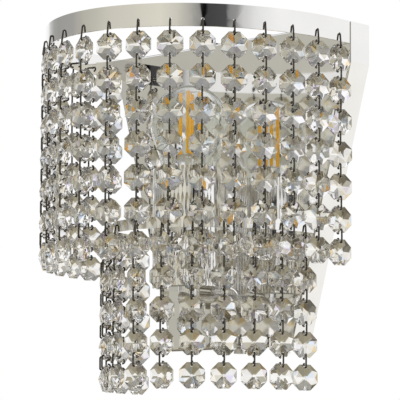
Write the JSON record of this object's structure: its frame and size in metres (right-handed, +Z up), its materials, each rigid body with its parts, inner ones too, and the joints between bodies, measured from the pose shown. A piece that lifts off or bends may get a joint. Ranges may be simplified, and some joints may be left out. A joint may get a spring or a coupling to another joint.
{
  "type": "crystal wall sconce",
  "caption": "Wall light: polished tray backplate with two bowed bands of hanging octagon crystals in two tiers round a clear bulb in a cup.",
  "frame": {"origin": "on the wall, midway between the two wall fixing slots of the bracket", "axes": "+Y into the wall, -Y out into the room, +Z up, +X to the right of someone facing the sconce"},
  "size_m": [0.1846, 0.1361, 0.2037],
  "materials": {
    "crystal": "clear cut crystal on steel pins",
    "polished_chrome": "mirror polished",
    "zinc_steel": "zinc plated",
    "plated_fastener": "nickel plated",
    "clear_glass": "clear",
    "nickel": "nickel plated",
    "amber_filament": "phosphor coating",
    "brass": "bright",
    "white_holder": "moulded",
    "white_block": "moulded",
    "black_glass": "glossy",
    "black_rubber": "matte",
    "brown_lead": "insulation",
    "blue_lead": "insulation",
    "green_lead": "insulation"
  },
  "bodies": {
    "fixture": {"arm_collar": "polished_chrome", "arm_nut": "plated_fastener", "arm_tube": "polished_chrome", "backplate_tray": "polished_chrome", "band_nuts": "plated_fastener", "band_screws": "plated_fastener", "cable_bush": "black_rubber", "cup_nut": "plated_fastener", "earth_screw": "plated_fastener", "earth_wire": "green_lead", "lampholder_body": "white_holder", "lampholder_contact": "brass", "lampholder_cup": "polished_chrome", "lampholder_shell": "brass", "live_wire": "brown_lead", "lower_band": "polished_chrome", "neutral_wire": "blue_lead", "terminal_block": "white_block", "terminal_screws": "plated_fastener", "tray_screws": "plated_fastener", "upper_band": "polished_chrome", "wall_bracket": "zinc_steel"},
    "bulb": {"bulb_glass": "clear_glass", "bulb_cap": "nickel", "bulb_insulator": "black_glass", "bulb_stem": "clear_glass", "bulb_supports": "nickel", "bulb_filaments": "amber_filament"},
    "lower_strand_01": {"lower_strand_01": "crystal"},
    "lower_strand_02": {"lower_strand_02": "crystal"},
    "lower_strand_03": {"lower_strand_03": "crystal"},
    "lower_strand_04": {"lower_strand_04": "crystal"},
    "lower_strand_05": {"lower_strand_05": "crystal"},
    "lower_strand_06": {"lower_strand_06": "crystal"},
    "lower_strand_07": {"lower_strand_07": "crystal"},
    "lower_strand_08": {"lower_strand_08": "crystal"},
    "lower_strand_09": {"lower_strand_09": "crystal"},
    "lower_strand_10": {"lower_strand_10": "crystal"},
    "lower_strand_11": {"lower_strand_11": "crystal"},
    "lower_strand_12": {"lower_strand_12": "crystal"},
    "lower_strand_13": {"lower_strand_13": "crystal"},
    "upper_strand_01": {"upper_strand_01": "crystal"},
    "upper_strand_02": {"upper_strand_02": "crystal"},
    "upper_strand_03": {"upper_strand_03": "crystal"},
    "upper_strand_04": {"upper_strand_04": "crystal"},
    "upper_strand_05": {"upper_strand_05": "crystal"},
    "upper_strand_06": {"upper_strand_06": "crystal"},
    "upper_strand_07": {"upper_strand_07": "crystal"},
    "upper_strand_08": {"upper_strand_08": "crystal"},
    "upper_strand_09": {"upper_strand_09": "crystal"},
    "upper_strand_10": {"upper_strand_10": "crystal"},
    "upper_strand_11": {"upper_strand_11": "crystal"},
    "upper_strand_12": {"upper_strand_12": "crystal"},
    "upper_strand_13": {"upper_strand_13": "crystal"},
    "upper_strand_14": {"upper_strand_14": "crystal"},
    "upper_strand_15": {"upper_strand_15": "crystal"},
    "upper_strand_16": {"upper_strand_16": "crystal"},
    "upper_strand_17": {"upper_strand_17": "crystal"},
    "upper_strand_18": {"upper_strand_18": "crystal"},
    "upper_strand_19": {"upper_strand_19": "crystal"}
  },
  "joints": [
    {"name": "bulb_unscrew", "type": "slide", "parent": "fixture", "child": "bulb", "axis": [0, 0, 1], "range_m": [0, 0.028]},
    {"name": "lower_strand_01_swing", "type": "hinge", "parent": "fixture", "child": "lower_strand_01", "pos_m": [-0.06189, -0.02712, -0.0232], "axis": [-0.0797, 0.9968, 0], "range_deg": [-4, 25]},
    {"name": "lower_strand_02_swing", "type": "hinge", "parent": "fixture", "child": "lower_strand_02", "pos_m": [-0.05889, -0.04367, -0.0232], "axis": [-0.2766, 0.961, 0], "range_deg": [-4, 25]},
    {"name": "lower_strand_03_swing", "type": "hinge", "parent": "fixture", "child": "lower_strand_03", "pos_m": [-0.05257, -0.05926, -0.0232], "axis": [-0.4733, 0.8809, 0], "range_deg": [-4, 25]},
    {"name": "lower_strand_04_swing", "type": "hinge", "parent": "fixture", "child": "lower_strand_04", "pos_m": [-0.04297, -0.07305, -0.0232], "axis": [-0.665, 0.7469, 0], "range_deg": [-4, 25]},
    {"name": "lower_strand_05_swing", "type": "hinge", "parent": "fixture", "child": "lower_strand_05", "pos_m": [-0.03027, -0.08406, -0.0232], "axis": [-0.8366, 0.5478, 0], "range_deg": [-4, 25]},
    {"name": "lower_strand_06_swing", "type": "hinge", "parent": "fixture", "child": "lower_strand_06", "pos_m": [-0.01504, -0.09113, -0.0232], "axis": [-0.9597, 0.2811, 0], "range_deg": [-4, 25]},
    {"name": "lower_strand_07_swing", "type": "hinge", "parent": "fixture", "child": "lower_strand_07", "pos_m": [0.0016, -0.09328, -0.0232], "axis": [-0.9995, -0.0302, 0], "range_deg": [-4, 25]},
    {"name": "lower_strand_08_swing", "type": "hinge", "parent": "fixture", "child": "lower_strand_08", "pos_m": [0.01809, -0.09014, -0.0232], "axis": [-0.9418, -0.3363, 0], "range_deg": [-4, 25]},
    {"name": "lower_strand_09_swing", "type": "hinge", "parent": "fixture", "child": "lower_strand_09", "pos_m": [0.0329, -0.08224, -0.0232], "axis": [-0.8067, -0.5909, 0], "range_deg": [-4, 25]},
    {"name": "lower_strand_10_swing", "type": "hinge", "parent": "fixture", "child": "lower_strand_10", "pos_m": [0.04504, -0.07062, -0.0232], "axis": [-0.6295, -0.777, 0], "range_deg": [-4, 25]},
    {"name": "lower_strand_11_swing", "type": "hinge", "parent": "fixture", "child": "lower_strand_11", "pos_m": [0.05403, -0.05641, -0.0232], "axis": [-0.4361, -0.8999, 0], "range_deg": [-4, 25]},
    {"name": "lower_strand_12_swing", "type": "hinge", "parent": "fixture", "child": "lower_strand_12", "pos_m": [0.05972, -0.04058, -0.0232], "axis": [-0.2391, -0.971, 0], "range_deg": [-4, 25]},
    {"name": "lower_strand_13_swing", "type": "hinge", "parent": "fixture", "child": "lower_strand_13", "pos_m": [0.06209, -0.02393, -0.0232], "axis": [-0.0423, -0.9991, 0], "range_deg": [-4, 25]},
    {"name": "upper_strand_01_swing", "type": "hinge", "parent": "fixture", "child": "upper_strand_01", "pos_m": [-0.0878, -0.02536, 0.0797], "axis": [-0.0042, 1, 0], "range_deg": [-4, 25]},
    {"name": "upper_strand_02_swing", "type": "hinge", "parent": "fixture", "child": "upper_strand_02", "pos_m": [-0.08663, -0.04238, 0.0797], "axis": [-0.1329, 0.9911, 0], "range_deg": [-4, 25]},
    {"name": "upper_strand_03_swing", "type": "hinge", "parent": "fixture", "child": "upper_strand_03", "pos_m": [-0.08325, -0.0591, 0.0797], "axis": [-0.2627, 0.9649, 0], "range_deg": [-4, 25]},
    {"name": "upper_strand_04_swing", "type": "hinge", "parent": "fixture", "child": "upper_strand_04", "pos_m": [-0.07765, -0.07521, 0.0797], "axis": [-0.3943, 0.919, 0], "range_deg": [-4, 25]},
    {"name": "upper_strand_05_swing", "type": "hinge", "parent": "fixture", "child": "upper_strand_05", "pos_m": [-0.06978, -0.09034, 0.0797], "axis": [-0.5274, 0.8496, 0], "range_deg": [-4, 25]},
    {"name": "upper_strand_06_swing", "type": "hinge", "parent": "fixture", "child": "upper_strand_06", "pos_m": [-0.05965, -0.10405, 0.0797], "axis": [-0.6598, 0.7514, 0], "range_deg": [-4, 25]},
    {"name": "upper_strand_07_swing", "type": "hinge", "parent": "fixture", "child": "upper_strand_07", "pos_m": [-0.04729, -0.11579, 0.0797], "axis": [-0.7861, 0.6182, 0], "range_deg": [-4, 25]},
    {"name": "upper_strand_08_swing", "type": "hinge", "parent": "fixture", "child": "upper_strand_08", "pos_m": [-0.03291, -0.12493, 0.0797], "axis": [-0.8954, 0.4453, 0], "range_deg": [-4, 25]},
    {"name": "upper_strand_09_swing", "type": "hinge", "parent": "fixture", "child": "upper_strand_09", "pos_m": [-0.01691, -0.13078, 0.0797], "axis": [-0.9721, 0.2347, 0], "range_deg": [-4, 25]},
    {"name": "upper_strand_10_swing", "type": "hinge", "parent": "fixture", "child": "upper_strand_10", "pos_m": [0, -0.1328, 0.0797], "axis": [-1, 0, 0], "range_deg": [-4, 25]},
    {"name": "upper_strand_11_swing", "type": "hinge", "parent": "fixture", "child": "upper_strand_11", "pos_m": [0.01691, -0.13078, 0.0797], "axis": [-0.9721, -0.2347, 0], "range_deg": [-4, 25]},
    {"name": "upper_strand_12_swing", "type": "hinge", "parent": "fixture", "child": "upper_strand_12", "pos_m": [0.03291, -0.12493, 0.0797], "axis": [-0.8954, -0.4453, 0], "range_deg": [-4, 25]},
    {"name": "upper_strand_13_swing", "type": "hinge", "parent": "fixture", "child": "upper_strand_13", "pos_m": [0.04729, -0.11579, 0.0797], "axis": [-0.7861, -0.6182, 0], "range_deg": [-4, 25]},
    {"name": "upper_strand_14_swing", "type": "hinge", "parent": "fixture", "child": "upper_strand_14", "pos_m": [0.05965, -0.10405, 0.0797], "axis": [-0.6598, -0.7514, 0], "range_deg": [-4, 25]},
    {"name": "upper_strand_15_swing", "type": "hinge", "parent": "fixture", "child": "upper_strand_15", "pos_m": [0.06978, -0.09034, 0.0797], "axis": [-0.5274, -0.8496, 0], "range_deg": [-4, 25]},
    {"name": "upper_strand_16_swing", "type": "hinge", "parent": "fixture", "child": "upper_strand_16", "pos_m": [0.07765, -0.07521, 0.0797], "axis": [-0.3943, -0.919, 0], "range_deg": [-4, 25]},
    {"name": "upper_strand_17_swing", "type": "hinge", "parent": "fixture", "child": "upper_strand_17", "pos_m": [0.08325, -0.0591, 0.0797], "axis": [-0.2627, -0.9649, 0], "range_deg": [-4, 25]},
    {"name": "upper_strand_18_swing", "type": "hinge", "parent": "fixture", "child": "upper_strand_18", "pos_m": [0.08663, -0.04238, 0.0797], "axis": [-0.1329, -0.9911, 0], "range_deg": [-4, 25]},
    {"name": "upper_strand_19_swing", "type": "hinge", "parent": "fixture", "child": "upper_strand_19", "pos_m": [0.0878, -0.02536, 0.0797], "axis": [-0.0042, -1, 0], "range_deg": [-4, 25]}
  ]
}
